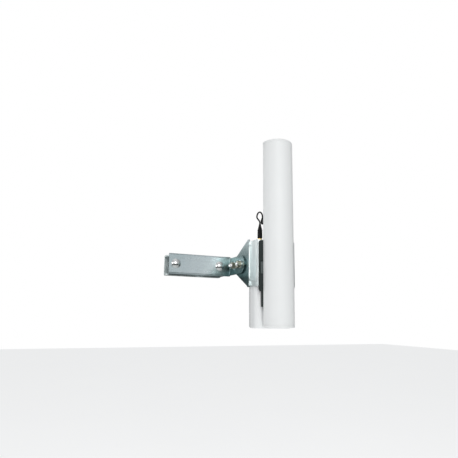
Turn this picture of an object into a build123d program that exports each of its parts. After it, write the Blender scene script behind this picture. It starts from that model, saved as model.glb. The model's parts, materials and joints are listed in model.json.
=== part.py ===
"""Compact outdoor sector antenna with a clip-on radio, a tilt bracket and a pole clamp.

The parts are drawn in the antenna's own frame, in millimetres: X to the side where the pole is,
Y along the beam, Z up, zero at the middle of the radome's flat back at its lower end. On export
everything is moved so that the origin is the pole's axis at the clamp's middle height.
"""
from build123d import *
import math
import os

os.makedirs("parts", exist_ok=True)

# ---- driving dimensions ------------------------------------------------------------------
RADOME_HEIGHT = 367.0
RADOME_HALF_WIDTH = 31.5
RADOME_DEPTH = 33.0
RADOME_WALL = 2.2
CAP_THICKNESS = 5.0

RAIL_HALF_WIDTH = 32.0
RAIL_THICKNESS = 10.0
RAIL_BOTTOM = 41.0
RAIL_TOP = 167.0
FOOT_HALF_WIDTH = 33.2
PLATE_HALF_WIDTH = 40.0
PLATE_FAR_HALF_WIDTH = 36.0
PLATE_LOW = 67.0
PLATE_HIGH = 165.0
RAIL_SCREW_X = 25.0
GROOVE_X = 13.0
LATCH_WINDOW = 36.2
LATCH_LOW = 101.0
LATCH_HIGH = 123.0

RADIO_HALF_WIDTH = 40.0
RADIO_BOTTOM = -2.0
RADIO_TOP = 160.0
RADIO_FRONT = -RAIL_THICKNESS
RADIO_BACK = -45.0
RADIO_WALL = 2.2
RADIO_CORNER = 12.0
COVER_THICKNESS = 8.0
DOOR_TOP = 26.0
LIGHTS_Z = 52.0
JACK_X = 25.0
JACK_Y = -25.0
ANTENNA_JACK_X = 25.5
ANTENNA_PLUG_Y = -13.0
FEED_Z = 203.0
FEED_TAB_X = 27.5

SHEET = 2.5
CHANNEL_HALF = 43.0
CHANNEL_BACK = -48.5
CHANNEL_TOP = 166.5
LIP_FRONT = -2.2
LIP_BACK = LIP_FRONT - SHEET
BRACKET_MIDDLE = 124.0
BRACKET_HALF_HEIGHT = 47.0
WEB_HALF_HEIGHT = 32.5
WING_OUTSIDE = CHANNEL_HALF + SHEET
WING_FRONT = -31.0
BEAD_RADIUS = 1.5

PIVOT_Y = -66.0
LOCK_RADIUS = 27.0
TILT_LIMIT = 20.0
LUG_HALF_HEIGHT = 18.3
LUG_THICKNESS = 3.0

ARM_FRONT = -117.0
ARM_THICKNESS = 3.0
ARM_HALF_HEIGHT = 21.0
ARM_END = 183.5
ARM_FLANGE_START = 62.0
POLE_RADIUS = 19.0
FLANGE_DEPTH = 19.0
BOLT_NEAR_X = 73.0
BOLT_FAR_X = 169.0
JAW_MARGIN = 13.0
JAW_DROP = 1.0

BOLT_RADIUS = 4.0
RUNNING_GAP = 0.05
CLAMP_BOLT_LENGTH = 56.0
CORD_RADIUS = 1.5

POLE_X = (BOLT_NEAR_X + BOLT_FAR_X) / 2
POLE_Y = ARM_FRONT - ARM_THICKNESS - POLE_RADIUS
JAW_BACK = POLE_Y - POLE_RADIUS - ARM_THICKNESS
RADOME_TOP = RADOME_HEIGHT - CAP_THICKNESS
LOCK_Y = PIVOT_Y - LOCK_RADIUS
COVER_FRONT = RADIO_BACK + COVER_THICKNESS
LUG_INSIDE = WING_OUTSIDE + 0.1
LUG_OUTSIDE = LUG_INSIDE + LUG_THICKNESS
CLAMP_MIDDLE = BRACKET_MIDDLE - JAW_DROP / 2
SIDES = (1, -1)


# ---- helpers -----------------------------------------------------------------------------
def block(x0, x1, y0, y1, z0, z1):
    """A box between two corners."""
    middle = Pos((x0 + x1) / 2, (y0 + y1) / 2, (z0 + z1) / 2)
    return middle * Box(abs(x1 - x0), abs(y1 - y0), abs(z1 - z0))


def rod_x(radius, x0, x1, y, z):
    """A cylinder along X."""
    return Pos((x0 + x1) / 2, y, z) * Rot(0, 90, 0) * Cylinder(radius, abs(x1 - x0))


def rod_y(radius, y0, y1, x, z):
    """A cylinder along Y."""
    return Pos(x, (y0 + y1) / 2, z) * Rot(90, 0, 0) * Cylinder(radius, abs(y1 - y0))


def rod_z(radius, z0, z1, x, y):
    """A cylinder along Z."""
    return Pos(x, y, (z0 + z1) / 2) * Cylinder(radius, abs(z1 - z0))


def hex_prism(across_flats, height):
    """A hexagonal prism standing on the XY plane, with its rims chamfered by a cone."""
    corner = across_flats / math.sqrt(3)
    prism = extrude(RegularPolygon(corner, 6), height)
    rim = revolve(
        Plane.XZ * make_face(Polyline((0, 0), (corner - 0.9, 0), (corner, 0.6), (corner, height - 0.6),
                                      (corner - 0.9, height), (0, height), close=True)),
        Axis.Z,
    )
    return prism & rim


def nut(across_flats, height, bore):
    """A hexagon nut standing on the XY plane."""
    return hex_prism(across_flats, height) - Pos(0, 0, height / 2) * Cylinder(bore, height * 2)


def ring(outer, inner, height):
    """A washer standing on the XY plane."""
    return Pos(0, 0, height / 2) * (Cylinder(outer, height) - Cylinder(inner, height * 2))


def half_ellipse(inset):
    """The radome's D section, shrunk by inset all round."""
    oval = Ellipse(RADOME_HALF_WIDTH - inset, RADOME_DEPTH - inset)
    return oval & Pos(0, inset + 50) * Rectangle(200, 100)


def group(solids):
    """Separate solids kept together as one node."""
    return Compound(children=list(solids))


def save(name, shape):
    """Moves the shape to the pole's frame and writes it."""
    export_step(Pos(-POLE_X, -POLE_Y, -CLAMP_MIDDLE) * shape, f"parts/{name}.step")


# ---- radome and what it covers -----------------------------------------------------------
def radome_shell():
    tube = extrude(half_ellipse(0) - half_ellipse(RADOME_WALL), RADOME_TOP - CAP_THICKNESS)
    tube = Pos(0, 0, CAP_THICKNESS) * tube
    rear_corners = tube.edges().filter_by(Axis.Z).group_by(Axis.Y)[0]
    tube = fillet(rear_corners, 1.5)
    for side in SIDES:
        for z in (BRACKET_MIDDLE - 34, BRACKET_MIDDLE + 34):
            tube -= rod_y(4.0, -1, RADOME_WALL + 1, side * RAIL_SCREW_X, z)
        tube -= rod_y(3.0, -1, RADOME_WALL + 1, side * ANTENNA_JACK_X, FEED_Z)
    seam = extrude(half_ellipse(-1) - half_ellipse(0.4), 0.5)
    return tube - Pos(0, 0, CAP_THICKNESS) * seam - Pos(0, 0, RADOME_TOP - 0.5) * seam


def end_cap(joint_z, upside_down):
    """A cap with a rounded outer rim and a plug that sits inside the tube."""
    cap = extrude(half_ellipse(0), CAP_THICKNESS)
    cap = fillet(cap.edges().group_by(Axis.Z)[-1], 2.2)
    plug = Pos(0, 0, -7) * extrude(half_ellipse(RADOME_WALL + 0.1), 7)
    plug -= Pos(0, 0, -8) * extrude(half_ellipse(RADOME_WALL + 2.1), 8)
    cap += plug
    if upside_down:
        cap = Rot(0, 180, 0) * cap
    return Pos(0, 0, joint_z) * cap


def bottom_cap():
    cap = end_cap(CAP_THICKNESS, True)
    for side in SIDES:
        cap -= rod_z(1.5, -1, CAP_THICKNESS + 1, side * 12, 14)
    return cap


def reflector():
    plate = block(-26, 26, 4, 5.2, 15, 352)
    for side in SIDES:
        plate += block(side * 24.8, side * 26, 5.2, 12, 15, 352)
        plate -= block(side * 23, side * 27, 3, 13, FEED_Z - 4, FEED_Z + 4)
    return plate


PATCH_HEIGHTS = [42 + 56.6 * row for row in range(6)]


def patch_elements():
    return group(Pos(0, 16.4, z) * Box(26, 0.8, 26) for z in PATCH_HEIGHTS)


def patch_spacers():
    return group(rod_y(2, 9.6, 16, side * 8, z) for z in PATCH_HEIGHTS for side in SIDES)


def feed_board():
    board = block(-23, 23, 8, 9.6, 20, 347)
    board += block(-FEED_TAB_X, FEED_TAB_X, 8, 9.6, FEED_Z - 2.5, FEED_Z + 2.5)
    for z in (48, RADOME_HEIGHT - 48):
        board -= rod_y(1.6, 7, 11, 0, z)
    return board


def board_standoffs():
    return group(rod_y(3, 5.2, 8, side * 14, z) for z in (60, 183, 306) for side in SIDES)


def threaded_inserts():
    def insert(side, z):
        body = rod_y(4.0, 0, 4.0, side * RAIL_SCREW_X, z)
        return body - rod_y(2.5, -1, 5, side * RAIL_SCREW_X, z)
    return group(insert(side, BRACKET_MIDDLE + dz) for side in SIDES for dz in (-34, 34))


def feed_tails():
    """Short stiff leads from the jacks to the feed board."""
    return group(rod_y(1.0, 3.5, 8.0, side * ANTENNA_JACK_X, FEED_Z) for side in SIDES)


def antenna_jacks():
    """Screw-on jacks that stand out of the radome's flat back."""
    def jack(side):
        x = side * ANTENNA_JACK_X
        body = rod_y(3.15, -8.0, 0, x, FEED_Z) + rod_y(2.9, -0.1, 3.5, x, FEED_Z)
        body += Pos(x, 0, FEED_Z) * Rot(90, 0, 0) * hex_prism(8, 2)
        return body - rod_y(2.2, -9, -2.5, x, FEED_Z)
    return group(jack(side) for side in SIDES)


# ---- rail that the radio slides onto ------------------------------------------------------
def rail_plate():
    """A moulded rail with a wide front plate that covers the bracket's lips."""
    bracket_low = BRACKET_MIDDLE - BRACKET_HALF_HEIGHT
    rail = block(-RAIL_HALF_WIDTH, RAIL_HALF_WIDTH, -RAIL_THICKNESS, LIP_BACK, RAIL_BOTTOM, RAIL_TOP)
    outer_corners = rail.edges().filter_by(Axis.Z).group_by(Axis.Y)[0]
    rail = fillet(outer_corners, 1.2)
    for side in SIDES:
        rail -= block(side * 29.5, side * 34, -11, 0, 30, bracket_low - 0.5)
    foot = block(-FOOT_HALF_WIDTH, FOOT_HALF_WIDTH, LIP_BACK - 0.3, 0, RAIL_BOTTOM - 3, bracket_low - 0.5)
    foot = fillet(foot.edges().filter_by(Axis.Y).group_by(Axis.Z)[0], 2.0)
    plate = block(-PLATE_FAR_HALF_WIDTH, PLATE_HALF_WIDTH, LIP_FRONT, 0, PLATE_LOW, PLATE_HIGH)
    plate = fillet(plate.edges().filter_by(Axis.Y), 5.0)
    spine = block(-11, 11, LIP_BACK - 0.5, LIP_FRONT + 0.5, PLATE_LOW, PLATE_HIGH)
    rail += [foot, plate, spine]
    for side in SIDES:
        x = side * GROOVE_X
        rail -= block(x, x + side * 4, -11, -7.4, 30, 150)
        rail -= block(x - side * 2, x + side * 6, -7.5, -5, 30, 150)
        for dz in (-34, 34):
            rail -= rod_y(5.0, -11, -6.5, side * RAIL_SCREW_X, BRACKET_MIDDLE + dz)
            rail -= rod_y(2.75, -11, 1, side * RAIL_SCREW_X, BRACKET_MIDDLE + dz)
    rail -= block(26, LATCH_WINDOW, -8.5, 1, LATCH_LOW - 0.5, LATCH_HIGH + 0.5)
    rail -= block(26, 31.5, -11, -8.0, 107, 113)
    return rail


def rail_latch():
    """A sliding tab in the rail's window, with a nose that holds the radio."""
    tab = block(29, LATCH_WINDOW - 0.6, -8.1, -0.4, LATCH_LOW, LATCH_HIGH)
    tab = fillet(tab.edges().filter_by(Axis.Y).group_by(Axis.X)[-1], 1.2)
    for z in range(104, 122, 3):
        tab -= block(31, LATCH_WINDOW, -0.9, 0, z, z + 1)
    return tab + block(29, 30.6, -11.6, -8, 108, 112)


def rail_screws():
    def screw(side, dz):
        x = side * RAIL_SCREW_X
        z = BRACKET_MIDDLE + dz
        body = rod_y(4.4, -9.2, -6.5, x, z) + rod_y(2.4, -6.6, 3.5, x, z)
        recess = Pos(x, -8.2, z) * Rot(90, 0, 0) * extrude(RegularPolygon(1.8, 6), 2)
        return body - recess
    return group(screw(side, dz) for side in SIDES for dz in (-34, 34))


# ---- radio ---------------------------------------------------------------------------------
BOSS_PLACES = [(side * 35, z) for side in SIDES for z in (33, 153)]


def radio_body():
    body = block(-RADIO_HALF_WIDTH, RADIO_HALF_WIDTH, COVER_FRONT, RADIO_FRONT, RADIO_BOTTOM, RADIO_TOP)
    body = fillet(body.edges().filter_by(Axis.Z).group_by(Axis.Y)[-1], RADIO_CORNER)
    ends = body.edges().filter_by(Axis.Y)
    body = fillet(ends, 4.0)
    outer = body
    wall = RADIO_WALL
    inside = RADIO_HALF_WIDTH - wall
    front = RADIO_FRONT - wall
    upper = block(-inside, inside, COVER_FRONT - 1, front, DOOR_TOP, RADIO_TOP - wall)
    upper = fillet(upper.edges().filter_by(Axis.Z).group_by(Axis.Y)[-1], RADIO_CORNER - wall)
    upper = fillet(upper.edges().filter_by(Axis.Y), 2.0)
    bay = block(-inside, inside, COVER_FRONT - 1, front, RADIO_BOTTOM + wall, DOOR_TOP - wall)
    bay = fillet(bay.edges().filter_by(Axis.Z).group_by(Axis.Y)[-1], RADIO_CORNER - wall)
    bay = fillet(bay.edges().filter_by(Axis.Y), 2.0)
    body -= upper
    body -= bay
    for x, z in BOSS_PLACES:
        body += rod_y(3.6, COVER_FRONT, front + 0.1, x, z) & outer
        body -= rod_y(1.3, COVER_FRONT - 1, front - 3, x, z)
    for side in SIDES:
        for z in (60, 120):
            body += rod_y(2.5, -22.4, front + 0.1, side * 27, z)
        body -= rod_z(3.35, RADIO_TOP - 5, RADIO_TOP + 1, side * JACK_X, JACK_Y)
        x = side * GROOVE_X
        for z in (56, 112):
            body += block(x + side * 0.4, x + side * 3.6, -10.1, -7.0, z, z + 24)
            body += block(x - side * 1.5, x + side * 5.5, -7.1, -5.4, z, z + 24)
        body -= block(side * 29.6, side * 33.4, COVER_FRONT - 1, -32.6, RADIO_BOTTOM - 1, 4)
    body -= block(-9, 9, COVER_FRONT - 1, -27, RADIO_BOTTOM - 1, RADIO_BOTTOM + wall + 1)
    body -= block(-8.3, 8.3, COVER_FRONT - 1, -23.7, DOOR_TOP - 4, DOOR_TOP + 1)
    body -= rod_z(1.85, DOOR_TOP - 4, DOOR_TOP + 1, 17, -29)
    body -= block(26.5, 31.5, -12.0, -9.5, 107, 113)
    seam = block(-41, 41, COVER_FRONT - 0.1, COVER_FRONT + 0.8, RADIO_BOTTOM - 1, 161)
    seam -= block(-39.2, 39.2, COVER_FRONT - 1, COVER_FRONT + 2, RADIO_BOTTOM + 0.8, RADIO_TOP - 0.8)
    return body - seam


def radio_cover():
    cover = block(-RADIO_HALF_WIDTH, RADIO_HALF_WIDTH, RADIO_BACK, COVER_FRONT, DOOR_TOP, RADIO_TOP)
    cover = fillet(cover.edges().filter_by(Axis.Y).group_by(Axis.Z)[-1], 4.0)
    rear = cover.faces().sort_by(Axis.Y)[0].edges().filter_by(Axis.X, reverse=True)
    cover = fillet(rear.filter_by(lambda e: e.center().Z > DOOR_TOP + 1), 3.5)
    cover -= block(-30, 30, RADIO_BACK + 2.6, COVER_FRONT + 1, LIGHTS_Z + 6, RADIO_TOP - 6)
    for x, z in BOSS_PLACES:
        cover -= rod_y(3.0, RADIO_BACK - 1, RADIO_BACK + 1.8, x, z)
        cover -= rod_y(1.6, RADIO_BACK - 1, COVER_FRONT + 1, x, z)
    for index in range(6):
        cover -= rod_y(1.5, RADIO_BACK - 1, COVER_FRONT + 1, -15 + 6 * index, LIGHTS_Z)
    return cover


def radio_gasket():
    outer = block(-37.7, 37.7, -36.9, -35.4, 26.4, 157.7)
    inner = block(-36.2, 36.2, -38, -34, 27.9, 156.2)
    seal = fillet(outer.edges().filter_by(Axis.Y), 2.4) - inner
    for x, z in BOSS_PLACES:
        seal -= rod_y(3.8, -38, -34, x, z)
    return group(seal.solids())


def cover_screws():
    def screw(x, z):
        body = rod_y(2.7, RADIO_BACK + 0.3, RADIO_BACK + 1.8, x, z)
        return body + rod_y(1.2, RADIO_BACK + 1.7, -26, x, z)
    return group(screw(x, z) for x, z in BOSS_PLACES)


def status_lights():
    return group(rod_y(1.4, RADIO_BACK + 0.1, COVER_FRONT + 3, -15 + 6 * i, LIGHTS_Z) for i in range(6))


def radio_board():
    board = block(-30.5, 30.5, -24, -22.4, 26.6, 154)
    for side in SIDES:
        board -= rod_z(5.4, 145, 156, side * JACK_X, JACK_Y)
    return board


def board_screws():
    return group(rod_y(2.2, -26, -24, side * 27, z) for side in SIDES for z in (60, 120))


def shield_can():
    can = block(-22, 22, -30, -24, 66, 142)
    return can - block(-21.4, 21.4, -29.4, -23, 66.6, 141.4)


def ethernet_socket():
    socket = block(-8, 8, -35.3, -24, DOOR_TOP - 2, 45)
    return socket - block(-5.9, 5.9, -34.2, -25.8, DOOR_TOP - 3, 40)


def reset_button():
    button = rod_z(1.5, DOOR_TOP - 3.2, DOOR_TOP + 3, 17, -29)
    return button + rod_z(2.4, DOOR_TOP + 0.1, DOOR_TOP + 1.2, 17, -29)


def port_door():
    door = block(-39.7, 39.7, RADIO_BACK, COVER_FRONT - 0.3, RADIO_BOTTOM + 0.2, DOOR_TOP - 0.3)
    door = fillet(door.edges().filter_by(Axis.Y).group_by(Axis.Z)[0], 4.0)
    rear = door.faces().sort_by(Axis.Y)[0].edges().filter_by(lambda e: e.center().Z < DOOR_TOP - 1)
    door = fillet(rear, 3.5)
    door -= block(-26, 26, RADIO_BACK + 2.6, COVER_FRONT + 1, RADIO_BOTTOM + 6, DOOR_TOP - 4)
    for side in SIDES:
        door += block(side * 30, side * 33, COVER_FRONT - 0.4, COVER_FRONT + 4, 6, 20)
    grip = [block(-9, 9, RADIO_BACK - 0.1, RADIO_BACK + 0.6, z, z + 1.2) for z in (8, 11, 14)]
    return door - grip[0] - grip[1] - grip[2]


def radio_jacks():
    def jack(side):
        x = side * JACK_X
        body = rod_z(5.0, RADIO_TOP - RADIO_WALL - 2, RADIO_TOP - RADIO_WALL, x, JACK_Y)
        body += rod_z(3.15, 148, 170, x, JACK_Y)
        return body - rod_z(2.2, 163, 171, x, JACK_Y)
    return group(jack(side) for side in SIDES)


def jack_nuts():
    return group(Pos(side * JACK_X, JACK_Y, RADIO_TOP) * nut(8.4, 2.2, 3.2) for side in SIDES)


# ---- jumper leads --------------------------------------------------------------------------
PLUG_BODY = 173.0
PLUG_TOP = 190.0
BOOT_TOP = 202.0
ELBOW_RADIUS = 3.9
ELBOW_TOP = 207.5
ELBOW_BOOT_TOP = 212.5


def coupling_nut(z, height):
    """A gold screw-on ring with hexagon flats and a plain collar."""
    flats = nut(8.2, height * 0.62, 3.2)
    return Pos(0, 0, z) * (flats + Pos(0, 0, height * 0.62) * ring(3.9, 3.2, height * 0.38))


def plug(x, y, z0, z1, z2, radius):
    """A moulded plug body from z0 to z1 with a boot that tapers up to z2."""
    body = rod_z(radius, z0, z1, x, y)
    body = fillet(body.edges().group_by(Axis.Z)[0], 0.8)
    boot = Pos(x, y, (z1 + z2) / 2) * Cone(radius, CORD_RADIUS + 0.5, z2 - z1)
    return body + boot


def elbow_plug(x):
    """A right-angle plug on the radome's jack, with a short boot that points up."""
    body = rod_z(ELBOW_RADIUS, FEED_Z, ELBOW_TOP, x, ANTENNA_PLUG_Y)
    body += rod_y(ELBOW_RADIUS, ANTENNA_PLUG_Y, -8.2, x, FEED_Z)
    body += Pos(x, ANTENNA_PLUG_Y, FEED_Z) * Sphere(ELBOW_RADIUS)
    boot = Pos(x, ANTENNA_PLUG_Y, (ELBOW_TOP + ELBOW_BOOT_TOP) / 2) * Cone(
        ELBOW_RADIUS, CORD_RADIUS + 0.5, ELBOW_BOOT_TOP - ELBOW_TOP)
    return body + boot


JUMPER_ROUTE = [
    (25.0, -25.0, 202.0),
    (25.0, -25.0, 207.5),
    (26.6, -29.0, 212.2),
    (28.2, -32.3, 216.5),
    (28.5, -31.0, 222.0),
    (28.2, -25.5, 226.0),
    (27.4, -18.5, 225.8),
    (26.4, -13.8, 221.3),
    (25.5, -13.0, 216.5),
    (25.5, -13.0, 212.5),
]


def jumper(side):
    """A thin coaxial lead of straight runs joined by tangent arcs."""
    points = [Vector(side * x, y, z) for x, y, z in JUMPER_ROUTE]
    radii = []
    for before, corner, after in zip(points, points[1:], points[2:]):
        arriving = corner - before
        leaving = after - corner
        turn = math.radians(arriving.get_angle(leaving))
        radii.append(0.45 * min(arriving.length, leaving.length) / math.tan(turn / 2))
    print("jumper bend radii", [round(r, 1) for r in radii])
    path = FilletPolyline(*points, radius=radii)
    section = Plane(origin=path @ 0, z_dir=path % 0) * Circle(CORD_RADIUS)
    tube = sweep(section, path=path)
    print("jumper length", round(path.length, 1), "volume ratio",
          round(tube.volume / (math.pi * CORD_RADIUS ** 2 * path.length), 4))
    return tube


# ---- bracket on the antenna ------------------------------------------------------------------
def bracket_channel():
    """A folded ring of sheet round the radio: back web, two sides and two inward lips."""
    low = BRACKET_MIDDLE - BRACKET_HALF_HEIGHT
    high = BRACKET_MIDDLE + BRACKET_HALF_HEIGHT
    inner = CHANNEL_HALF - SHEET
    depth = LIP_FRONT - CHANNEL_BACK
    outline = Rectangle(2 * CHANNEL_HALF, depth) - Rectangle(2 * inner, depth - 2 * SHEET)
    outline = Pos(0, (LIP_FRONT + CHANNEL_BACK) / 2) * outline
    outline -= Pos(0, LIP_FRONT) * Rectangle(24, SHEET * 3)
    channel = Pos(0, 0, low) * extrude(outline, high - low)
    for bend, place in ((CHANNEL_HALF, CHANNEL_HALF), (-SHEET, inner)):
        for row, radius in ((0, 3.2), (-1, 6.0)):
            corners = channel.edges().filter_by(Axis.Z).filter_by(
                lambda e: abs(abs(e.center().X) - place) < 0.1)
            inside_bend = 0 if bend > 0 else SHEET
            channel = fillet(corners.group_by(Axis.Y)[row], radius - inside_bend)
    for sign in SIDES:
        gap_near = BRACKET_MIDDLE + sign * WEB_HALF_HEIGHT
        gap_far = BRACKET_MIDDLE + sign * (BRACKET_HALF_HEIGHT + 1)
        channel -= block(-38.5, 38.5, CHANNEL_BACK - 1, CHANNEL_BACK + SHEET + 1, gap_near, gap_far)
        channel -= block(-50, 50, CHANNEL_BACK - 1, CHANNEL_BACK + 4, gap_near, gap_near + sign * 3)
        for side in SIDES:
            channel -= rod_y(2.75, LIP_BACK - 1, 0, side * RAIL_SCREW_X, BRACKET_MIDDLE + sign * 34)
    channel -= block(-50, 50, -60, 0, CHANNEL_TOP, high + 1)
    return channel - block(26, LATCH_WINDOW, LIP_BACK - 1, 0, LATCH_LOW - 0.5, LATCH_HIGH + 0.5)


def wing_outline():
    """Half-heights along the wing: straight front edge, tips, slope to the narrow tail."""
    tip = BRACKET_HALF_HEIGHT
    upper = [(WING_FRONT, WEB_HALF_HEIGHT), (WING_FRONT - 1.5, WEB_HALF_HEIGHT + 3), (WING_FRONT - 1.5, tip),
             (-37.5, tip), (-92, LUG_HALF_HEIGHT), (-106, 12)]
    lower = [(y, -h) for y, h in reversed(upper)]
    return upper + lower


def wing_plate(side):
    """A side wing with the pivot hole, the curved lock slot and a degree scale."""
    outline = make_face(Polyline(*wing_outline(), close=True))
    corners = outline.vertices()
    tips = corners.filter_by(lambda v: abs(v.Y) > BRACKET_HALF_HEIGHT - 1)
    outline = fillet(tips, 3.0)
    tail = outline.vertices().group_by(Axis.X)[0]
    outline = fillet(tail, 5.0)
    outline -= Pos(PIVOT_Y, 0) * Circle(BOLT_RADIUS + RUNNING_GAP)
    swing = TILT_LIMIT + 1.5
    centre_line = CenterArc((PIVOT_Y, 0), LOCK_RADIUS, 180 - swing, 2 * swing)
    outline -= SlotArc(centre_line, 2 * (BOLT_RADIUS + 0.3))
    plate = extrude(Plane.YZ * outline, SHEET)
    plate = Pos(CHANNEL_HALF, 0, BRACKET_MIDDLE) * plate
    for step in range(-4, 5):
        angle = math.radians(step * 5)
        length = 4.6 if step % 2 == 0 else 3.0
        middle = LUG_HALF_HEIGHT + 1.8 + length / 2
        place = Pos(WING_OUTSIDE, PIVOT_Y + middle * math.cos(angle), BRACKET_MIDDLE + middle * math.sin(angle))
        plate -= place * Rot(math.degrees(angle), 0, 0) * Box(0.6, length, 0.6)
    bead_low, bead_high = BRACKET_MIDDLE - WEB_HALF_HEIGHT + 2, BRACKET_MIDDLE + WEB_HALF_HEIGHT - 2
    bead = rod_z(BEAD_RADIUS, bead_low, bead_high, WING_OUTSIDE - BEAD_RADIUS + 0.7, WING_FRONT - 0.6)
    bead = fillet(bead.edges().filter_by(GeomType.CIRCLE), 0.8)
    plate += bead & block(CHANNEL_HALF, 50, -60, 0, 0, 300)
    return plate if side > 0 else mirror(plate, Plane.YZ)


# ---- pole arm and clamp ------------------------------------------------------------------------
def pole_notch():
    """The round seat for the pole, cut through both flanges of a channel."""
    return rod_z(POLE_RADIUS, BRACKET_MIDDLE - 40, BRACKET_MIDDLE + 40, POLE_X, POLE_Y)


def arm_channel():
    """A channel with a lug folded forward at the antenna end."""
    low = BRACKET_MIDDLE - ARM_HALF_HEIGHT
    high = BRACKET_MIDDLE + ARM_HALF_HEIGHT
    back = ARM_FRONT - FLANGE_DEPTH
    inner = ARM_FRONT - ARM_THICKNESS
    profile = Pos(0, 0) * Rectangle(FLANGE_DEPTH, 2 * ARM_HALF_HEIGHT)
    hollow = Pos(-ARM_THICKNESS, 0) * Rectangle(FLANGE_DEPTH, 2 * (ARM_HALF_HEIGHT - ARM_THICKNESS))
    section = profile - hollow
    channel = extrude(Plane.YZ * section, ARM_END - ARM_FLANGE_START)
    channel = Pos(ARM_FLANGE_START, (ARM_FRONT + back) / 2, BRACKET_MIDDLE) * channel
    bends = channel.edges().filter_by(Axis.X)
    outer_bends = bends.filter_by(lambda e: e.center().Y > ARM_FRONT - 0.1)
    channel = fillet(outer_bends, 3.2)
    inner_bends = channel.edges().filter_by(Axis.X).filter_by(lambda e: abs(e.center().Y - inner) < 0.1)
    channel = fillet(inner_bends, 1.0)
    free_corners = channel.edges().filter_by(Axis.Z).filter_by(lambda e: e.center().Y < back + 0.1)
    channel = fillet(free_corners, 3.0)
    trim = make_face(Polyline((ARM_END - 8, back - 1), (ARM_END + 1, back - 1),
                              (ARM_END + 1, inner - 0.5), (ARM_END - 0.6, inner - 0.5), close=True))
    channel -= Pos(0, 0, low - 1) * extrude(trim, high - low + 2)
    channel -= pole_notch()
    tongue_start = LUG_INSIDE + LUG_THICKNESS / 2
    nose = block(LUG_OUTSIDE - 0.5, ARM_FLANGE_START + 1, inner, ARM_FRONT,
                 low + 0.2, high - 0.2)
    nose = fillet(nose.edges().filter_by(Axis.Y).group_by(Axis.X)[0], 2.5)
    web = block(tongue_start, ARM_FLANGE_START + 1, inner, ARM_FRONT,
                BRACKET_MIDDLE - LUG_HALF_HEIGHT, BRACKET_MIDDLE + LUG_HALF_HEIGHT)
    lug_face = Rectangle(PIVOT_Y - inner, 2 * LUG_HALF_HEIGHT)
    lug_face = Pos((PIVOT_Y + inner) / 2, 0) * lug_face + Pos(PIVOT_Y, 0) * Circle(LUG_HALF_HEIGHT)
    lug = extrude(Plane.YZ * lug_face, LUG_THICKNESS)
    lug = Pos(LUG_INSIDE, 0, BRACKET_MIDDLE) * lug
    corner = web + lug
    outside = corner.edges().filter_by(Axis.Z).group_by(Axis.Y)[0].sort_by(Axis.X)[0]
    corner = fillet(outside, 1.4)
    inside_edges = corner.edges().filter_by(Axis.Z).filter_by(
        lambda e: abs(e.center().Y - ARM_FRONT) < 0.1 and abs(e.center().X - LUG_OUTSIDE) < 0.1)
    corner = fillet(inside_edges, 2.0)
    arm = channel + nose + corner
    arm -= rod_x(BOLT_RADIUS + 0.3, 40, 55, PIVOT_Y, BRACKET_MIDDLE)
    arm -= rod_x(BOLT_RADIUS + 0.3, 40, 55, LOCK_Y, BRACKET_MIDDLE)
    for x in (BOLT_NEAR_X, BOLT_FAR_X):
        arm -= block(x - 4.2, x + 4.2, inner - 1, ARM_FRONT + 1, BRACKET_MIDDLE - 4.2, BRACKET_MIDDLE + 4.2)
    return arm


def rear_jaw():
    low_x = BOLT_NEAR_X - JAW_MARGIN
    high_x = BOLT_FAR_X + JAW_MARGIN
    profile = Rectangle(FLANGE_DEPTH, 2 * ARM_HALF_HEIGHT)
    hollow = Pos(ARM_THICKNESS, 0) * Rectangle(FLANGE_DEPTH, 2 * (ARM_HALF_HEIGHT - ARM_THICKNESS))
    channel = extrude(Plane.YZ * (profile - hollow), high_x - low_x)
    middle_z = BRACKET_MIDDLE - JAW_DROP
    channel = Pos(low_x, JAW_BACK + FLANGE_DEPTH / 2, middle_z) * channel
    outer_bends = channel.edges().filter_by(Axis.X).filter_by(lambda e: e.center().Y < JAW_BACK + 0.1)
    channel = fillet(outer_bends, 3.2)
    inner_y = JAW_BACK + ARM_THICKNESS
    inner_bends = channel.edges().filter_by(Axis.X).filter_by(lambda e: abs(e.center().Y - inner_y) < 0.1)
    channel = fillet(inner_bends, 1.0)
    free_corners = channel.edges().filter_by(Axis.Z).filter_by(
        lambda e: e.center().Y > JAW_BACK + FLANGE_DEPTH - 0.1)
    channel = fillet(free_corners, 3.0)
    channel -= pole_notch()
    for x in (BOLT_NEAR_X, BOLT_FAR_X):
        channel -= rod_y(BOLT_RADIUS + 1.5, JAW_BACK - 1, inner_y + 1, x, BRACKET_MIDDLE)
    return channel


def carriage_bolts():
    """Dome-headed bolts with square necks."""
    def bolt(x):
        dome = Pos(x, ARM_FRONT - 6.6, BRACKET_MIDDLE) * Sphere(11.8)
        head = dome & block(x - 10, x + 10, ARM_FRONT, ARM_FRONT + 8, BRACKET_MIDDLE - 15, BRACKET_MIDDLE + 15)
        neck = block(x - 4, x + 4, ARM_FRONT - ARM_THICKNESS, ARM_FRONT + 0.1,
                     BRACKET_MIDDLE - 4, BRACKET_MIDDLE + 4)
        shank = rod_y(BOLT_RADIUS, ARM_FRONT - CLAMP_BOLT_LENGTH, ARM_FRONT, x, BRACKET_MIDDLE)
        tip = shank.edges().group_by(Axis.Y)[0]
        return head + neck + chamfer(tip, 0.8)
    return group(bolt(x) for x in (BOLT_NEAR_X, BOLT_FAR_X))


def jaw_washers():
    def washer(x):
        return Pos(x, JAW_BACK, BRACKET_MIDDLE) * Rot(90, 0, 0) * ring(8, BOLT_RADIUS + 0.4, 1.6)
    return group(washer(x) for x in (BOLT_NEAR_X, BOLT_FAR_X))


def jaw_nuts():
    def one(x):
        return Pos(x, JAW_BACK - 1.6, BRACKET_MIDDLE) * Rot(90, 0, 0) * nut(13, 6.5, BOLT_RADIUS + RUNNING_GAP)
    return group(one(x) for x in (BOLT_NEAR_X, BOLT_FAR_X))


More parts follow.
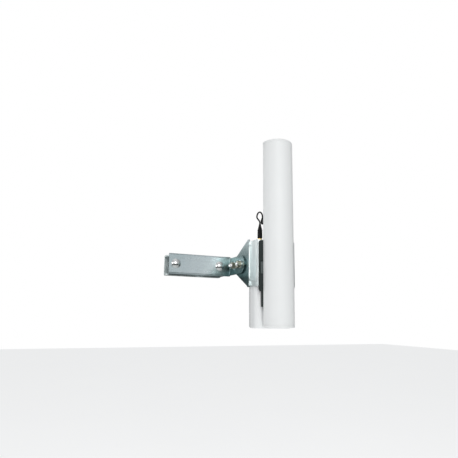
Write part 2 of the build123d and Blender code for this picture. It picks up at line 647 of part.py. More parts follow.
# ---- tilt hardware -----------------------------------------------------------------------------
def hinge_bolt(y, end_x):
    """A hexagon bolt from inside the wing, along X."""
    head = Pos(CHANNEL_HALF - 1.5, y, BRACKET_MIDDLE) * Rot(0, -90, 0) * hex_prism(13, 5.3)
    shank = rod_x(BOLT_RADIUS, CHANNEL_HALF - 2, end_x, y, BRACKET_MIDDLE)
    tip = shank.edges().group_by(Axis.X)[-1]
    return head + chamfer(tip, 0.8)


def pivot_bolt():
    return hinge_bolt(PIVOT_Y, LUG_OUTSIDE + 9.5)


def lock_bolt():
    return hinge_bolt(LOCK_Y, LUG_OUTSIDE + 13.0)


def tilt_washers():
    """One washer under each head and one under each nut."""
    washers = []
    for y in (PIVOT_Y, LOCK_Y):
        inside = Pos(CHANNEL_HALF - 1.5, y, BRACKET_MIDDLE) * Rot(0, 90, 0) * ring(8, 4.2, 1.3)
        outside = Pos(LUG_OUTSIDE, y, BRACKET_MIDDLE) * Rot(0, 90, 0) * ring(8, 4.2, 1.4)
        washers += [inside, outside]
    return group(washers)


def tilt_nut(y, turn):
    place = Pos(LUG_OUTSIDE + 1.4, y, BRACKET_MIDDLE)
    return place * Rot(0, 90, 0) * Rot(0, 0, turn) * nut(13, 6.5, BOLT_RADIUS + 0.05)


# ---- write every node ----------------------------------------------------------------------------
save("radome_shell", radome_shell())
save("top_cap", end_cap(RADOME_TOP, False))
save("bottom_cap", bottom_cap())
save("reflector", reflector())
save("feed_board", feed_board())
save("board_standoffs", board_standoffs())
save("patch_elements", patch_elements())
save("patch_spacers", patch_spacers())
save("feed_tails", feed_tails())
save("threaded_inserts", threaded_inserts())
save("antenna_jacks", antenna_jacks())
save("rail_plate", rail_plate())
save("rail_latch", rail_latch())
save("rail_screws", rail_screws())
save("radio_body", radio_body())
save("radio_cover", radio_cover())
save("radio_gasket", radio_gasket())
save("cover_screws", cover_screws())
save("status_lights", status_lights())
save("radio_board", radio_board())
save("board_screws", board_screws())
save("shield_can", shield_can())
save("ethernet_socket", ethernet_socket())
save("reset_button", reset_button())
save("port_door", port_door())
save("radio_jacks", radio_jacks())
save("jack_nuts", jack_nuts())
save("bracket_channel", bracket_channel())
save("near_wing", wing_plate(1))
save("far_wing", wing_plate(-1))
save("arm_channel", arm_channel())
save("carriage_bolts", carriage_bolts())
save("rear_jaw", rear_jaw())
save("jaw_washers", jaw_washers())
save("jaw_nuts", jaw_nuts())
save("pivot_bolt", pivot_bolt())
save("lock_bolt", lock_bolt())
save("tilt_washers", tilt_washers())
save("pivot_nut", tilt_nut(PIVOT_Y, 8))
save("lock_nut", tilt_nut(LOCK_Y, 21))
for side, label in ((1, "near"), (-1, "far")):
    save(f"{label}_jumper", jumper(side))
    save(f"{label}_radio_plug", plug(side * JACK_X, JACK_Y, PLUG_BODY, PLUG_TOP, BOOT_TOP, 4.9))
    save(f"{label}_antenna_plug", elbow_plug(side * ANTENNA_JACK_X))
save("radio_coupling_nuts",
     group(Pos(side * JACK_X, JACK_Y) * coupling_nut(162.5, PLUG_BODY - 162.5) for side in SIDES))
save("antenna_coupling_nuts",
     group(Pos(side * ANTENNA_JACK_X, 0, FEED_Z) * Rot(90, 0, 0) * coupling_nut(2.2, 6.0) for side in SIDES))
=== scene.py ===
"""Looks for the sector antenna: materials, threaded and ribbed pieces, leads, light and camera.

Places are given in the antenna's own frame in millimetres, as `at(x, y, z)`: X to the pole's side,
Y along the beam, Z up, zero at the middle of the radome's flat back at its lower end.
"""
import json
import math

import bmesh
import bpy
from mathutils import Matrix, Vector


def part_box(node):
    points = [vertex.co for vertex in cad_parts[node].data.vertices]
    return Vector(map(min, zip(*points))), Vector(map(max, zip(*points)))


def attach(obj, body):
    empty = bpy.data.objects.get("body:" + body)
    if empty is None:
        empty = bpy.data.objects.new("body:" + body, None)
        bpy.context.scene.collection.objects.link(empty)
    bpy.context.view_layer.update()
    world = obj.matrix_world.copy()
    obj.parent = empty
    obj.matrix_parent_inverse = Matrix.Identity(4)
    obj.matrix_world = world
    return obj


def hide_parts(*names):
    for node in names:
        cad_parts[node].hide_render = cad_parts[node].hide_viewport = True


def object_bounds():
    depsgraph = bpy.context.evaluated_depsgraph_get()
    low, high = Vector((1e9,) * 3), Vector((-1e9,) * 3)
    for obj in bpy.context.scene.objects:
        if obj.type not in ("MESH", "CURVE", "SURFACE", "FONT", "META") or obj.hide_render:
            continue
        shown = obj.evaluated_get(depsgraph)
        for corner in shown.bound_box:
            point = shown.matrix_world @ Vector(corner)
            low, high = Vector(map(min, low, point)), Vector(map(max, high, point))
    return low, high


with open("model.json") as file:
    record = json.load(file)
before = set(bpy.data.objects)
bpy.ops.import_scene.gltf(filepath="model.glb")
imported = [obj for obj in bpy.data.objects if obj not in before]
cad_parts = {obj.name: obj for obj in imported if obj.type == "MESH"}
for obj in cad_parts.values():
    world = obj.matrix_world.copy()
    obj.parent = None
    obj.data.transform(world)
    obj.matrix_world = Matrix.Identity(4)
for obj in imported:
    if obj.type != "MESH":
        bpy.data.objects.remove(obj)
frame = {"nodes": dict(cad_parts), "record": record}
cad_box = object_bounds()

MM = 0.001
radome_low, radome_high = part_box("radome_shell")
ORIGIN = Vector(((radome_low.x + radome_high.x) / 2, radome_low.y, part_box("bottom_cap")[0].z))
SIDES = {"near": 1, "far": -1}


def at(x, y, z):
    """A point of the antenna's frame, in millimetres, as a point of the scene in metres."""
    return ORIGIN + Vector((x, y, z)) * MM


def size(node):
    """A node's size along each axis, in millimetres."""
    low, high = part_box(node)
    return (high - low) / MM


def middle(node):
    low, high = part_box(node)
    return (low + high) / 2


# ---- node trees ----------------------------------------------------------------------------------
# A Mix node has sockets of the same names for each data type. These are the colour's.
MIX_A, MIX_B, MIX_RESULT = 6, 7, 2


class Tree:
    """A node tree with short ways to add and join nodes."""

    def __init__(self, tree):
        self.tree = tree

    def add(self, kind, **values):
        node = self.tree.nodes.new(kind)
        for key, value in values.items():
            setattr(node, key, value)
        return node

    def join(self, source, target):
        self.tree.links.new(source, target)

    def spread(self, value, low, high, from_low=0.3, from_high=0.7):
        """A pattern's value mapped to a range."""
        node = self.add("ShaderNodeMapRange")
        node.inputs["From Min"].default_value = from_low
        node.inputs["From Max"].default_value = from_high
        node.inputs["To Min"].default_value = low
        node.inputs["To Max"].default_value = high
        self.join(value, node.inputs["Value"])
        return node.outputs["Result"]

    def mixed(self, factor, first, second, blend="MIX"):
        node = self.add("ShaderNodeMix", data_type="RGBA", blend_type=blend)
        if isinstance(factor, float):
            node.inputs["Factor"].default_value = factor
        else:
            self.join(factor, node.inputs["Factor"])
        self.join(first, node.inputs[MIX_A])
        self.join(second, node.inputs[MIX_B])
        return node.outputs[MIX_RESULT]

    def by_stops(self, value, stops, shift=0.0):
        """A colour from (place, colour) stops, by a value that runs from the first place to the last."""
        low, high = stops[0][0], stops[-1][0]
        node = self.add("ShaderNodeValToRGB")
        elements = node.color_ramp.elements
        elements[0].color, elements[1].color = (*stops[0][1], 1), (*stops[-1][1], 1)
        for place, colour in stops[1:-1]:
            elements.new((place - low) / (high - low)).color = (*colour, 1)
        self.join(self.spread(value, 0.0, 1.0, low + shift, high + shift), node.inputs["Fac"])
        return node.outputs["Color"]


class Surface(Tree):
    """A material with its patterns, which lie in the object's own space."""

    def __init__(self, name):
        self.material = bpy.data.materials.new(name)
        self.material.use_nodes = True
        super().__init__(self.material.node_tree)
        self.shader = self.tree.nodes["Principled BSDF"]
        self.place = self.add("ShaderNodeTexCoord").outputs["Object"]

    def set(self, **values):
        for key, value in values.items():
            self.shader.inputs[key.replace("_", " ")].default_value = value
        return self

    def colour(self, source):
        self.join(source, self.shader.inputs["Base Color"])

    def roughness(self, source):
        self.join(source, self.shader.inputs["Roughness"])

    def bump(self, height, strength, distance):
        node = self.add("ShaderNodeBump")
        node.inputs["Strength"].default_value = strength
        node.inputs["Distance"].default_value = distance
        self.join(height, node.inputs["Height"])
        self.join(node.outputs["Normal"], self.shader.inputs["Normal"])

    def stretched(self, scale):
        """The place, scaled by a vector, for brushed or drawn patterns."""
        mapping = self.add("ShaderNodeMapping")
        mapping.inputs["Scale"].default_value = scale
        self.join(self.place, mapping.inputs["Vector"])
        return mapping.outputs["Vector"]

    def noise(self, scale, detail=3.0, stretch=None, roughness=0.5):
        node = self.add("ShaderNodeTexNoise")
        node.inputs["Scale"].default_value = scale
        node.inputs["Detail"].default_value = detail
        node.inputs["Roughness"].default_value = roughness
        self.join(self.stretched(stretch) if stretch else self.place, node.inputs["Vector"])
        return node.outputs["Fac"]

    def cells(self, scale):
        node = self.add("ShaderNodeTexVoronoi")
        node.inputs["Scale"].default_value = scale
        self.join(self.place, node.inputs["Vector"])
        return node.outputs["Color"]

    def ramp(self, value, dark, light, low=0.3, high=0.7):
        """A colour between two, by a pattern's value."""
        node = self.add("ShaderNodeValToRGB")
        first, last = node.color_ramp.elements
        first.position, last.position = low, high
        first.color, last.color = (*dark, 1), (*light, 1)
        self.join(value, node.inputs["Fac"])
        return node.outputs["Color"]

    def scaled_sum(self, value, factor, added):
        """value * factor + added"""
        node = self.add("ShaderNodeMath", operation="MULTIPLY_ADD")
        self.join(value, node.inputs[0])
        node.inputs[1].default_value = factor
        self.join(added, node.inputs[2])
        return node.outputs["Value"]


# ---- materials -----------------------------------------------------------------------------------
# Painted shade on the sheet steel, lightest beside the clamp's near bolt: from there it deepens and turns
# blue-green towards the antenna and downwards, and greys a little towards the arm's free end. The place of
# each stop is X + the rise * Z, in metres from the pole's axis, which the clouds shift by the cloud amount.
PAINTED_SHADE_RISE = 0.9
PAINTED_SHADE_CLOUD = 0.03
PAINTED_SHADE_STOPS = [
    (-0.120, (0.05, 0.09, 0.09)),
    (-0.076, (0.22, 0.30, 0.30)),
    (-0.058, (0.40, 0.47, 0.46)),
    (-0.044, (0.62, 0.68, 0.67)),
    (-0.030, (1.0, 1.0, 1.0)),
    (0.000, (0.90, 0.91, 0.92)),
    (0.060, (0.66, 0.70, 0.71)),
]
# The beaded front edge of the wings gets a painted highlight instead, a colour brighter than white.
BEAD_WIDTH = 0.0032
BEAD_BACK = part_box("near_wing")[1].y - BEAD_WIDTH
BEAD_BLEND = 0.0008
BEAD_PAINTED_HIGHLIGHT = (1.12, 1.08, 1.05)


def shade(colour, factor):
    return tuple(min(1.0, channel * factor) for channel in colour)


def painted_shade_and_highlight(n, clouds):
    """Painted shade on the sheet, and a painted highlight on the wings' front bead, as a colour to multiply
    by.
    """
    place = n.add("ShaderNodeSeparateXYZ")
    n.join(n.place, place.inputs["Vector"])
    raised = n.scaled_sum(place.outputs["Z"], PAINTED_SHADE_RISE, place.outputs["X"])
    painted_shade = n.by_stops(n.scaled_sum(clouds, PAINTED_SHADE_CLOUD, raised), PAINTED_SHADE_STOPS, PAINTED_SHADE_CLOUD / 2)
    # Painted highlight along the wings' front bead.
    painted_highlight_mask = n.spread(place.outputs["Y"], 0.0, 1.0, BEAD_BACK, BEAD_BACK + BEAD_BLEND)
    painted_highlight = n.add("ShaderNodeRGB")
    painted_highlight.outputs["Color"].default_value = (*BEAD_PAINTED_HIGHLIGHT, 1)
    return n.mixed(painted_highlight_mask, painted_shade, painted_highlight.outputs["Color"])


def plastic(name, colour, roughness, grain=0.35, variation=0.04):
    """Moulded plastic: a fine spark-eroded grain and a faint cloudiness."""
    n = Surface(name).set(IOR=1.49)
    n.colour(n.ramp(n.noise(9.0, detail=4.0), shade(colour, 1 - variation), shade(colour, 1 + variation)))
    n.roughness(n.spread(n.noise(60.0), roughness - 0.05, roughness + 0.06))
    n.bump(n.noise(2600.0, detail=2.0), strength=grain, distance=0.00006)
    return n.material


def zinc(name, dark, light, roughness, spangle, brushed, grime=0.0, painted_shade=False):
    """Zinc-plated steel: faint crystals, drawn streaks and a slightly uneven polish."""
    n = Surface(name).set(Metallic=1.0)
    clouds = n.noise(22.0, detail=5.0, roughness=0.6)
    base = n.ramp(clouds, dark, light)
    crystals = n.ramp(n.cells(330.0), shade(dark, 1 - spangle), shade(light, 1 + spangle * 0.4), 0.1, 0.9)
    base = n.mixed(spangle, base, crystals)
    if grime:
        dirt = n.noise(420.0, detail=2.0, roughness=0.7)
        spots = n.ramp(dirt, (0.30, 0.33, 0.33), (1, 1, 1), 0.36, 0.50)
        base = n.mixed(grime, base, spots, "MULTIPLY")
    # Painted shade: the sheet darkens and turns blue-green towards the antenna and downwards.
    if painted_shade:
        base = n.mixed(1.0, base, painted_shade_and_highlight(n, clouds), "MULTIPLY")
    n.colour(base)
    streaks = n.noise(160.0, detail=4.0, stretch=brushed, roughness=0.65)
    n.roughness(n.spread(streaks, roughness - 0.07, roughness + 0.10))
    n.bump(streaks, strength=0.22, distance=0.00008)
    return n.material


def metal(name, colour, roughness, streak=(1.0, 1.0, 1.0), variation=0.06):
    """Plain turned or stamped metal."""
    n = Surface(name).set(Metallic=1.0)
    n.colour(n.ramp(n.noise(120.0), shade(colour, 1 - variation), shade(colour, 1 + variation)))
    turning = n.noise(900.0, detail=2.0, stretch=streak)
    n.roughness(n.spread(turning, roughness - 0.05, roughness + 0.08))
    n.bump(turning, strength=0.12, distance=0.00003)
    return n.material


def rubber(name, colour, roughness):
    """Moulded rubber, dull and slightly cloudy."""
    n = Surface(name).set(IOR=1.5, Specular_IOR_Level=0.25)
    n.colour(n.ramp(n.noise(70.0, detail=4.0), shade(colour, 0.75), shade(colour, 1.35)))
    n.roughness(n.spread(n.noise(240.0), roughness - 0.06, roughness + 0.08))
    n.bump(n.noise(1800.0, detail=2.0), strength=0.3, distance=0.00005)
    return n.material


def circuit_board(name):
    """Green solder mask with copper tracks showing through it."""
    n = Surface(name)
    tracks = n.add("ShaderNodeTexBrick")
    tracks.inputs["Scale"].default_value = 55.0
    tracks.inputs["Mortar Size"].default_value = 0.06
    tracks.inputs["Color1"].default_value = (0.012, 0.10, 0.035, 1)
    tracks.inputs["Color2"].default_value = (0.018, 0.13, 0.045, 1)
    tracks.inputs["Mortar"].default_value = (0.05, 0.24, 0.09, 1)
    n.join(n.stretched((1, 3.0, 1.4)), tracks.inputs["Vector"])
    n.colour(tracks.outputs["Color"])
    n.roughness(n.spread(n.noise(300.0), 0.28, 0.42))
    n.bump(tracks.outputs["Fac"], strength=0.3, distance=0.00005)
    return n.material


MATERIALS = {
    "radome_white": plastic("radome_plastic", (0.855, 0.868, 0.865), 0.42, grain=0.18, variation=0.012),
    "cap_white": plastic("cap_plastic", (0.845, 0.858, 0.855), 0.46, grain=0.25, variation=0.015),
    "radio_white": plastic("radio_plastic", (0.87, 0.885, 0.885), 0.45, variation=0.012),
    "rail_grey": plastic("rail_plastic", (0.012, 0.021, 0.020), 0.55, grain=0.6, variation=0.18),
    "latch_grey": plastic("latch_plastic", (0.10, 0.12, 0.12), 0.50, grain=0.5, variation=0.10),
    # The sheet steel carries the painted shade and the wings' painted highlight.
    "zinc_sheet": zinc("zinc_sheet", (0.68, 0.775, 0.80), (0.83, 0.90, 0.92), 0.30, spangle=0.10,
                       brushed=(0.25, 1.0, 1.6), grime=0.12, painted_shade=True),
    "zinc_bright": zinc("zinc_bright", (0.66, 0.73, 0.73), (0.80, 0.86, 0.855), 0.42, spangle=0.06,
                        brushed=(1.0, 1.0, 0.3)),
    "zinc_bolt": metal("zinc_bolt", (0.90, 0.91, 0.91), 0.17),
    "yellow_zinc": metal("yellow_zinc", (0.43, 0.405, 0.32), 0.28, variation=0.22),
    "gold": metal("gold_plate", (0.86, 0.66, 0.30), 0.22),
    "aluminium": metal("aluminium", (0.80, 0.81, 0.82), 0.38, streak=(1, 1, 0.1)),
    "black_rubber": rubber("black_rubber", (0.006, 0.0065, 0.007), 0.52),
    "seal_grey": rubber("seal_rubber", (0.14, 0.15, 0.15), 0.60),
    "black_plastic": plastic("black_plastic", (0.022, 0.022, 0.024), 0.45, grain=0.5, variation=0.2),
    "nylon": plastic("nylon", (0.78, 0.76, 0.70), 0.50, variation=0.03),
    "clear_plastic": plastic("light_pipe", (0.70, 0.76, 0.76), 0.15, grain=0.05),
    "board_green": circuit_board("circuit_board"),
}
# The radio's cover and port door get a greyer plastic than its body, as painted shade on its rounded back
# edges.
COVER_PAINTED_SHADE = plastic("cover_plastic_painted_shade", (0.66, 0.67, 0.67), 0.47, variation=0.015)
COVER_NODES = ("radio_cover", "port_door")

SLOT_OF = {part["node"]: part["material_slot"] for part in frame["record"]["subparts"]}
for node_name, node in frame["nodes"].items():
    material = COVER_PAINTED_SHADE if node_name in COVER_NODES else MATERIALS[SLOT_OF[node_name]]
    for material_slot in node.material_slots:
        material_slot.material = material


# ---- turned pieces, in millimetres ---------------------------------------------------------------
def plain(angle, height, radius):
    return radius


def ridge(phase, radius, depth):
    """The radius across one ridge of a saw-tooth pattern, whose phase counts the ridges."""
    return radius - depth * abs(2 * (phase % 1.0) - 1)


def threaded(pitch, depth):
    """A helical ridge on a round bar."""
    def radius_at(angle, height, radius):
        return ridge(height / pitch - angle / math.tau, radius, depth)
    return radius_at


def knurled(count, depth):
    """Straight ridges along a round bar."""
    def radius_at(angle, height, radius):
        return ridge(angle / math.tau * count, radius, depth)
    return radius_at


def hexagonal(across_flats):
    """Six flats, where the round profile is wider than they are."""
    def radius_at(angle, height, radius):
        from_flat = (angle + math.pi / 6) % (math.pi / 3) - math.pi / 6
        return min(radius, across_flats / 2 / math.cos(from_flat))
    return radius_at


def skin(bm, rings):
    """Adds a closed solid through rings of points, in metres, from one end to the other."""
    loops = [[bm.verts.new(point) for point in ring] for ring in rings]
    for lower, upper in zip(loops, loops[1:]):
        for step in range(len(lower)):
            after = (step + 1) % len(lower)
            bm.faces.new((lower[step], lower[after], upper[after], upper[step]))
    bm.faces.new(reversed(loops[0]))
    bm.faces.new(loops[-1])


def turn(bm, profile, segments, radius_at=plain, turned_to=Matrix.Identity(4)):
    """Adds a closed turned solid along Z: profile is (height, radius) from one end to the other."""
    rings = []
    for height, radius in profile:
        ring = []
        for step in range(segments):
            angle = math.tau * step / segments
            r = radius_at(angle, height, radius)
            ring.append(turned_to @ (Vector((r * math.cos(angle), r * math.sin(angle), height)) * MM))
        rings.append(ring)
    skin(bm, rings)


def square_bar(bm, half_width, low, high, rounding):
    """Adds a square bar along Z with rounded edges."""
    flat = half_width - rounding
    corners = []
    for quarter in range(4):
        sign_x = 1 if quarter in (0, 3) else -1
        sign_y = 1 if quarter in (0, 1) else -1
        for step in range(4):
            angle = math.pi / 2 * (quarter + step / 3)
            corners.append((sign_x * flat + rounding * math.cos(angle),
                            sign_y * flat + rounding * math.sin(angle)))
    skin(bm, [[Vector((x, y, height)) * MM for x, y in corners] for height in (low, high)])


CREASE = math.radians(35)
ALONG = {
    "+x": Matrix.Rotation(math.pi / 2, 4, "Y"),
    "-y": Matrix.Rotation(math.pi / 2, 4, "X"),
    "+z": Matrix.Identity(4),
}


def piece(name, bm, place, along, slot, body, *replaced):
    """Makes an object from the mesh, puts it in place and has it ride its body."""
    mesh = bpy.data.meshes.new(name)
    bm.normal_update()
    bm.to_mesh(mesh)
    bm.free()
    mesh.materials.append(MATERIALS[slot])
    obj = bpy.data.objects.new(name, mesh)
    bpy.context.collection.objects.link(obj)
    obj.matrix_world = Matrix.Translation(place) @ ALONG[along]
    mesh.shade_smooth()
    mesh.set_sharp_from_angle(angle=CREASE)
    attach(obj, body)
    if replaced:
        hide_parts(*replaced)
    return obj


# ---- bolts, in millimetres -------------------------------------------------------------------------
BOLT_RADIUS = 4.0
PITCH = 1.25
THREAD_DEPTH = 0.62
POINTS_PER_TURN = 8
SHANK_SEGMENTS = 32
DOME_RADIUS = size("carriage_bolts").z / 2
DOME_HEIGHT = 5.2
DOME_STEPS = 14
DOME_SEGMENTS = 72
RIM_HEIGHT = 0.5
NECK_LENGTH = 4.4
ACROSS_FLATS = 13.0
HEX_HEAD_HEIGHT = 5.3
HEX_SEGMENTS = 60
PLAIN_SHANK = 11.5
bolts_low, bolts_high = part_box("carriage_bolts")


def thread(bm, start, end):
    """A rolled thread on a bolt's shank."""
    count = int((end - start) / PITCH * POINTS_PER_TURN)
    profile = [(start + (end - start) * step / count, BOLT_RADIUS) for step in range(count + 1)]
    turn(bm, profile, SHANK_SEGMENTS, threaded(PITCH, THREAD_DEPTH))


def bolt_end(bm, length, start, chamfer, root, tip):
    """The unthreaded end of a bolt: a core from start, then a chamfer, each measured back from the end."""
    core = BOLT_RADIUS - root
    turn(bm, [(length - start, core), (length - chamfer, core), (length, BOLT_RADIUS - tip)], SHANK_SEGMENTS)


def carriage_bolt(name, x, *replaced):
    """Domed head with a rim, square neck and a rolled thread, with its axis at x."""
    length = size("carriage_bolts").y - DOME_HEIGHT
    sphere = 0.5 * (DOME_RADIUS ** 2 + DOME_HEIGHT ** 2) / DOME_HEIGHT
    sweep = math.asin(DOME_RADIUS / sphere)
    dome = []
    for step in range(1, DOME_STEPS):
        angle = sweep * step / DOME_STEPS
        height = sphere - DOME_HEIGHT - sphere * math.cos(angle)
        dome.append((min(height, -RIM_HEIGHT), sphere * math.sin(angle)))
    rim = [(-0.35, DOME_RADIUS), (0.0, DOME_RADIUS - 0.5)]
    bm = bmesh.new()
    turn(bm, dome + rim, DOME_SEGMENTS)
    square_bar(bm, BOLT_RADIUS, -0.1, NECK_LENGTH, 0.5)
    thread(bm, NECK_LENGTH - 0.2, length - 1.2)
    bolt_end(bm, length, start=1.3, chamfer=0.9, root=0.5, tip=1.1)
    place = Vector((x, bolts_high.y - DOME_HEIGHT * MM, middle("carriage_bolts").z))
    piece(name, bm, place, "-y", "zinc_bolt", "pole_arm", *replaced)


def hinge_bolt(name, node):
    """Hexagon head inside the wing and a threaded end that stands out of the nut."""
    length = size(node).x
    corner = ACROSS_FLATS / math.sqrt(3)
    head = [(0.0, 5.4), (0.0, corner - 0.9), (0.6, corner),
            (HEX_HEAD_HEIGHT - 0.5, corner), (HEX_HEAD_HEIGHT, corner - 0.5)]
    bm = bmesh.new()
    turn(bm, head, HEX_SEGMENTS, hexagonal(ACROSS_FLATS))
    turn(bm, [(HEX_HEAD_HEIGHT - 0.1, BOLT_RADIUS), (PLAIN_SHANK, BOLT_RADIUS)], SHANK_SEGMENTS)
    thread(bm, PLAIN_SHANK - 0.1, length - 1.0)
    bolt_end(bm, length, start=1.1, chamfer=0.8, root=0.45, tip=1.0)
    place = middle(node)
    place.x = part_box(node)[0].x
    piece(name, bm, place, "+x", "zinc_bolt", "pole_arm", node)


carriage_bolt("near_carriage_bolt", bolts_low.x + DOME_RADIUS * MM, "carriage_bolts")
carriage_bolt("far_carriage_bolt", bolts_high.x - DOME_RADIUS * MM)
hinge_bolt("pivot_bolt_threaded", "pivot_bolt")
hinge_bolt("lock_bolt_threaded", "lock_bolt")


# ---- leads: plugs, coupling nuts and cords, in millimetres -------------------------------------------
RADIO_JACK_X, RADIO_JACK_Y = 25.0, -25.0
ANTENNA_JACK_X = 25.5
PLUG_RADIUS = 4.9
PLUG_SEGMENTS = 40
GRIP_GROOVES = (7.5, 5.0, 2.5)
BOOT_LENGTH = 12.0
ELBOW_BOOT_LENGTH = 5.5
BOOT_RIBS = 5
COUPLING_FLATS = 0.62
KNURLS = 28
CORD_DIAMETER = 3.0
BOOT_TIP = CORD_DIAMETER / 2 + 0.5
ROUTE = [
    (25.0, -25.0, 202.0),
    (25.0, -25.0, 207.5),
    (26.6, -29.0, 212.2),
    (28.2, -32.3, 216.5),
    (28.5, -31.0, 222.0),
    (28.2, -25.5, 226.0),
    (27.4, -18.5, 225.8),
    (26.4, -13.8, 221.3),
    (25.5, -13.0, 216.5),
    (25.5, -13.0, 212.5),
]


def groove(height, radius, depth):
    """A round groove across a plug, as (height, radius)."""
    return [(height - 0.6, radius), (height - 0.3, radius - depth),
            (height + 0.3, radius - depth), (height + 0.6, radius)]


def boot(neck, top, radius):
    """A ribbed boot that tapers from a plug's body to its lead, as (height, radius).

    It has no groove that would be thinner than its tip.
    """
    rise = (top - neck) / BOOT_RIBS
    points = []
    for rib in range(BOOT_RIBS):
        outer = radius + (BOOT_TIP - radius) * rib / BOOT_RIBS
        base = neck + rib * rise
        points += [(base + 0.15 * rise, outer - 0.15), (base + 0.45 * rise, outer - 0.3),
                   (base + 0.55 * rise, outer - 0.95), (base + 0.9 * rise, outer - 0.95)]
    points.append((top, BOOT_TIP))
    kept = [point for point in points if point[1] > BOOT_TIP - 0.05]
    return kept + [(top + 0.01, BOOT_TIP - 0.3)]


def radio_plug(side_name, side):
    """The straight plug on the radio's jack, which points up."""
    node = f"{side_name}_radio_plug"
    height = size(node).z
    neck = height - BOOT_LENGTH
    body = [(0.0, PLUG_RADIUS - 1.4), (0.25, PLUG_RADIUS - 0.5), (0.9, PLUG_RADIUS)]
    for before_neck in GRIP_GROOVES:
        body += groove(neck - before_neck, PLUG_RADIUS, 0.45)
    body.append((neck, PLUG_RADIUS))
    bm = bmesh.new()
    turn(bm, body + boot(neck, height, PLUG_RADIUS), PLUG_SEGMENTS)
    place = at(side * RADIO_JACK_X, RADIO_JACK_Y, 0)
    place.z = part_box(node)[0].z
    return piece(f"{node}_moulded", bm, place, "+z", "black_rubber", "antenna", node)


def elbow_plug(side_name, side):
    """The right-angle plug on the radome's jack: a round elbow, a leg to the jack and a boot on top."""
    node = f"{side_name}_antenna_plug"
    radius = size(node).x / 2
    height = size(node).z - radius
    neck = height - ELBOW_BOOT_LENGTH
    angles = [math.radians(-85 + 85 * step / 8) for step in range(9)]
    ball = [(radius * math.sin(a), radius * math.cos(a)) for a in angles]
    body = groove(neck * 0.35 + 0.6, radius, 0.4) + [(neck, radius)]
    bm = bmesh.new()
    turn(bm, ball + body + boot(neck, height, radius), PLUG_SEGMENTS)
    leg = size(node).y - radius
    turn(bm, [(0.0, radius - 0.05), (leg - 0.5, radius - 0.05), (leg, radius - 0.5)], PLUG_SEGMENTS,
         turned_to=Matrix.Rotation(-math.pi / 2, 4, "X"))
    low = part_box(node)[0]
    place = Vector((at(side * ANTENNA_JACK_X, 0, 0).x, low.y + radius * MM, low.z + radius * MM))
    return piece(f"{node}_moulded", bm, place, "+z", "black_rubber", "antenna", node)


def coupling(name, place, along, height, slot):
    """A screw-on ring: hexagon flats first, then a knurled collar."""
    flats = height * COUPLING_FLATS
    nut = [(0.0, 3.3), (0.0, 4.2), (0.45, 4.7), (flats - 0.45, 4.7), (flats, 4.2)]
    collar = [(flats - 0.02, 3.5), (flats + 0.3, 3.9), (height - 0.4, 3.9), (height, 3.5)]
    bm = bmesh.new()
    turn(bm, nut, HEX_SEGMENTS, hexagonal(8.2))
    turn(bm, collar, 4 * KNURLS, knurled(KNURLS, 0.22))
    return piece(name, bm, place, along, slot, "antenna")


def radio_coupling(side_name, side):
    """The gold nut under the straight plug."""
    place = at(side * RADIO_JACK_X, RADIO_JACK_Y, 0)
    place.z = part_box("radio_coupling_nuts")[0].z
    nut = coupling(f"{side_name}_radio_coupling", place, "+z", size("radio_coupling_nuts").z, "gold")
    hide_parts("radio_coupling_nuts")
    return nut


def antenna_coupling(side_name, side):
    """The nut between the elbow and the radome, coloured black as painted shade."""
    place = Vector((at(side * ANTENNA_JACK_X, 0, 0).x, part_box("antenna_coupling_nuts")[1].y,
                    middle("antenna_coupling_nuts").z))
    nut = coupling(f"{side_name}_antenna_coupling", place, "-y", size("antenna_coupling_nuts").y,
                   "black_plastic")
    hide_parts("antenna_coupling_nuts")
    return nut


def jumper(side_name, side):
    """The lead itself, on the same route as its solid."""
    curve = bpy.data.curves.new(f"{side_name}_jumper_lead", "CURVE")
    curve.dimensions = "3D"
    curve.bevel_depth = CORD_DIAMETER / 2 * MM
    curve.bevel_resolution = 6
    curve.use_fill_caps = True
    spline = curve.splines.new("NURBS")
    spline.points.add(len(ROUTE) - 1)
    for point, (x, y, z) in zip(spline.points, ROUTE):
        point.co = (*at(side * x, y, z), 1)
    spline.order_u = 3
    spline.use_endpoint_u = True
    spline.resolution_u = 16
    curve.materials.append(MATERIALS["black_rubber"])
    lead = bpy.data.objects.new(f"{side_name}_jumper_lead", curve)
    bpy.context.collection.objects.link(lead)
    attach(lead, "antenna")
    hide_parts(f"{side_name}_jumper")
    x, y, z = ROUTE[0]


for side_name, side in SIDES.items():
    ends = [make(side_name, side) for make in (radio_plug, elbow_plug, radio_coupling, antenna_coupling)]
    jumper(side_name, side)


# ---- floor, camera and light, in metres --------------------------------------------------------------
FLOOR_DROP = 0.45
FLOOR_HALF = 6.0
CAMERA_PLACE = Vector((0.3005, 0.8732, -0.1057))
CAMERA_YAW, CAMERA_PITCH, CAMERA_ROLL = (math.radians(angle) for angle in (246.577, 11.489, 0.808))
CAMERA_LENS = 34.161
CAMERA_SENSOR = 36.0
RADOME_MIDDLE = at(0, 0, 190)
ARM_MIDDLE = at(120, -117, 124)
WING_MIDDLE = at(50, -60, 124)


def studio_floor():
    """A pale floor below the antenna, which lights it softly but isn't mirrored in its metal."""
    z = cad_box[0][2] - FLOOR_DROP
    corners = [(x * FLOOR_HALF, y * FLOOR_HALF, z) for x, y in ((-1, -1), (1, -1), (1, 1), (-1, 1))]
    mesh = bpy.data.meshes.new("studio_floor")
    mesh.from_pydata(corners, [], [(0, 1, 2, 3)])
    n = Surface("studio_white").set(Roughness=1.0, Specular_IOR_Level=0.0)
    n.set(Emission_Color=(1, 1, 1, 1), Emission_Strength=0.42)
    n.colour(n.ramp(n.noise(3.0), (0.95, 0.95, 0.95), (0.96, 0.96, 0.96)))
    mesh.materials.append(n.material)
    floor = bpy.data.objects.new("studio_floor", mesh)
    bpy.context.collection.objects.link(floor)
    floor.visible_glossy = False


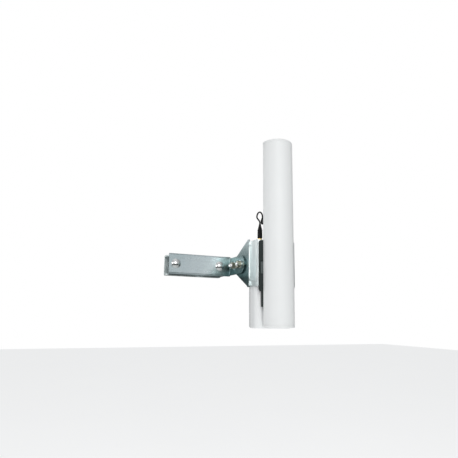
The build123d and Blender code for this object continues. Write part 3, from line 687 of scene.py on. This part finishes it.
def place_camera():
    """The camera looks along its yaw and pitch, and is then rolled about that line."""
    flat = math.cos(CAMERA_PITCH)
    forward = Vector((flat * math.cos(CAMERA_YAW), flat * math.sin(CAMERA_YAW), math.sin(CAMERA_PITCH)))
    level_right = Vector((math.sin(CAMERA_YAW), -math.cos(CAMERA_YAW), 0))
    level_up = level_right.cross(forward)
    right = math.cos(CAMERA_ROLL) * level_right + math.sin(CAMERA_ROLL) * level_up
    up = right.cross(forward)
    data = bpy.data.cameras.new("camera")
    data.lens = CAMERA_LENS
    data.sensor_width = CAMERA_SENSOR
    data.clip_start = 0.01
    camera = bpy.data.objects.new("camera", data)
    bpy.context.collection.objects.link(camera)
    axes = Matrix((right, up, -forward)).transposed().to_4x4()
    camera.matrix_world = Matrix.Translation(CAMERA_PLACE) @ axes
    bpy.context.scene.camera = camera


def softbox(name, offset, target, width, height, power, reflected_only=False):
    """A rectangular light, offset from the radome's middle and aimed at the target."""
    place = RADOME_MIDDLE + Vector(offset)
    light = bpy.data.lights.new(name, "AREA")
    light.shape = "RECTANGLE"
    light.size, light.size_y = width, height
    light.energy = power
    obj = bpy.data.objects.new(name, light)
    bpy.context.collection.objects.link(obj)
    aim = (target - place).to_track_quat("-Z", "Y").to_matrix().to_4x4()
    obj.matrix_world = Matrix.Translation(place) @ aim
    obj.visible_diffuse = not reflected_only


def studio_world():
    """White to the camera. In reflections it is dark just below the horizon and brighter to one side."""
    world = bpy.data.worlds.new("studio")
    world.use_nodes = True
    bpy.context.scene.world = world
    n = Tree(world.node_tree)
    n.tree.nodes.clear()
    direction = n.add("ShaderNodeSeparateXYZ")
    n.join(n.add("ShaderNodeTexCoord").outputs["Generated"], direction.inputs["Vector"])
    by_height = n.by_stops(direction.outputs["Z"], [
        (-1, (0.90, 0.95, 0.95)),
        (-0.6, (0.75, 0.79, 0.79)),
        (-0.42, (0.03, 0.035, 0.035)),
        (-0.06, (0.05, 0.055, 0.055)),
        (0.1, (0.60, 0.61, 0.62)),
        (1, (0.80, 0.81, 0.82)),
    ])
    by_side = n.by_stops(direction.outputs["X"], [
        (-1, (0.40, 0.41, 0.41)),
        (0, (0.62, 0.62, 0.62)),
        (1, (0.70, 0.70, 0.70)),
    ])
    lit = n.add("ShaderNodeBackground")
    n.join(n.mixed(1.0, by_height, by_side, "MULTIPLY"), lit.inputs["Color"])
    seen = n.add("ShaderNodeBackground")
    seen.inputs["Color"].default_value = (1, 1, 1, 1)
    mix = n.add("ShaderNodeMixShader")
    n.join(n.add("ShaderNodeLightPath").outputs["Is Camera Ray"], mix.inputs["Fac"])
    n.join(lit.outputs["Background"], mix.inputs[1])
    n.join(seen.outputs["Background"], mix.inputs[2])
    n.join(mix.outputs["Shader"], n.add("ShaderNodeOutputWorld").inputs["Surface"])


studio_floor()
place_camera()
softbox("key", (0.50, 1.45, 0.40), RADOME_MIDDLE, 0.9, 1.1, 9.0)
softbox("top", (0.1, 0.3, 1.5), RADOME_MIDDLE, 1.4, 1.4, 1.0)
softbox("side_card", (1.5, -1.1, 0.25), RADOME_MIDDLE, 1.2, 0.9, 5.0, reflected_only=True)
softbox("front_card", (-0.30, 1.35, 0.15), ARM_MIDDLE, 0.8, 0.9, 0.9, reflected_only=True)
softbox("edge_card", (1.5, 0.55, 0.1), WING_MIDDLE, 0.45, 0.9, 2.5, reflected_only=True)
studio_world()
bpy.context.scene.view_settings.view_transform = "Standard"
